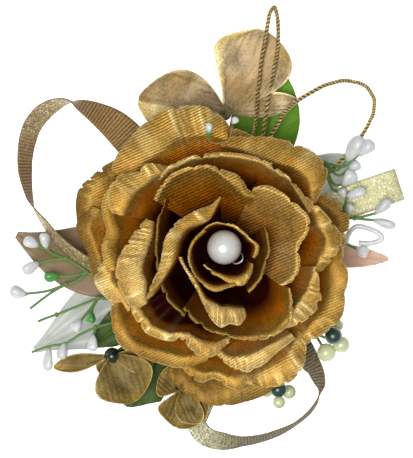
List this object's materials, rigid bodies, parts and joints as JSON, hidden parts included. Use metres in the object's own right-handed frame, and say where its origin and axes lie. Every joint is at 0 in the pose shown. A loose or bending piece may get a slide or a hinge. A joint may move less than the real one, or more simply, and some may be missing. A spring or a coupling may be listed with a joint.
{
  "type": "wrist corsage",
  "caption": "Layered fabric rose with a pearl centre on a spray of satin leaves, metallic ribbon and cord loops, bud sprays and berries, worn on an elastic wrist band.",
  "frame": {"origin": "on the band's inner face under the middle of the backing pad, where it lies on the wrist; the rose's axis passes through it", "axes": "+Z out of the wrist through the rose's centre; +X to the right and +Y to the top of the corsage seen from the front; the band loops in the XZ plane"},
  "size_m": [0.1172, 0.1317, 0.0801],
  "materials": {
    "elastic_band": "woven elastic, matt",
    "felt_pad": "felt, matt",
    "hot_glue": "set hot-melt glue",
    "rose_satin": "ribbed metallic satin",
    "floret_satin": "metallic satin",
    "peach_satin": "plain satin",
    "bright_leaf": "printed leaf fabric",
    "dark_leaf": "printed leaf fabric",
    "organza": "sheer organza",
    "stem_wire": "paper-wrapped wire",
    "pearl": "pearl lustre",
    "clear_thread": "clear thread",
    "metallic_ribbon": "glittered front, cross-ribbed back",
    "metallic_cord": "twisted metallic cord",
    "bud_spray": "white buds on green wires",
    "berry": "glossy berries on green wires",
    "dark_bead": "polished dark green"
  },
  "bodies": {
    "corsage": {"band_top": "elastic_band", "band_side_left": "elastic_band", "band_side_right": "elastic_band", "backing_pad": "felt_pad", "glue_bed": "hot_glue", "rose_layer_outermost": "rose_satin", "rose_layer_second": "rose_satin", "rose_layer_third": "rose_satin", "rose_layer_fourth": "rose_satin", "rose_inner_petals": "rose_satin", "rose_coil_outer": "rose_satin", "rose_coil_inner": "rose_satin", "rose_stem": "stem_wire", "pearl": "pearl", "pearl_thread": "clear_thread", "green_leaf_top": "bright_leaf", "green_leaf_left": "dark_leaf", "green_leaf_serrated": "dark_leaf", "satin_leaf_left": "peach_satin", "satin_leaf_right": "peach_satin", "organza_left": "organza", "organza_right": "organza", "floret_top": "floret_satin", "floret_top_stem": "stem_wire", "floret_top_centre": "dark_bead", "floret_left": "floret_satin", "floret_left_stem": "stem_wire", "floret_left_centre": "dark_bead", "floret_bottom": "floret_satin", "floret_bottom_stem": "stem_wire", "ribbon_loop_left": "metallic_ribbon", "ribbon_loop_bottom": "metallic_ribbon", "ribbon_tail_right": "metallic_ribbon", "cord_loop_tall": "metallic_cord", "cord_loop_wide": "metallic_cord", "bud_spray_left_upper": "bud_spray", "bud_spray_left_middle": "bud_spray", "bud_spray_left_lower": "bud_spray", "bud_spray_right_upper": "bud_spray", "bud_spray_right_middle": "bud_spray", "bud_spray_right_lower": "bud_spray", "bud_pair_top": "bud_spray", "berries_right": "berry", "bead_right": "dark_bead", "berries_bottom": "berry", "bead_bottom": "dark_bead"},
    "band": {"band_lower": "elastic_band"}
  },
  "joints": [
    {"name": "band_stretch", "type": "slide", "parent": "corsage", "child": "band", "axis": [0, 0, -1], "range_m": [0, 0.022], "stiffness_N_per_m": 150, "deforming": ["band_side_left", "band_side_right"]}
  ]
}
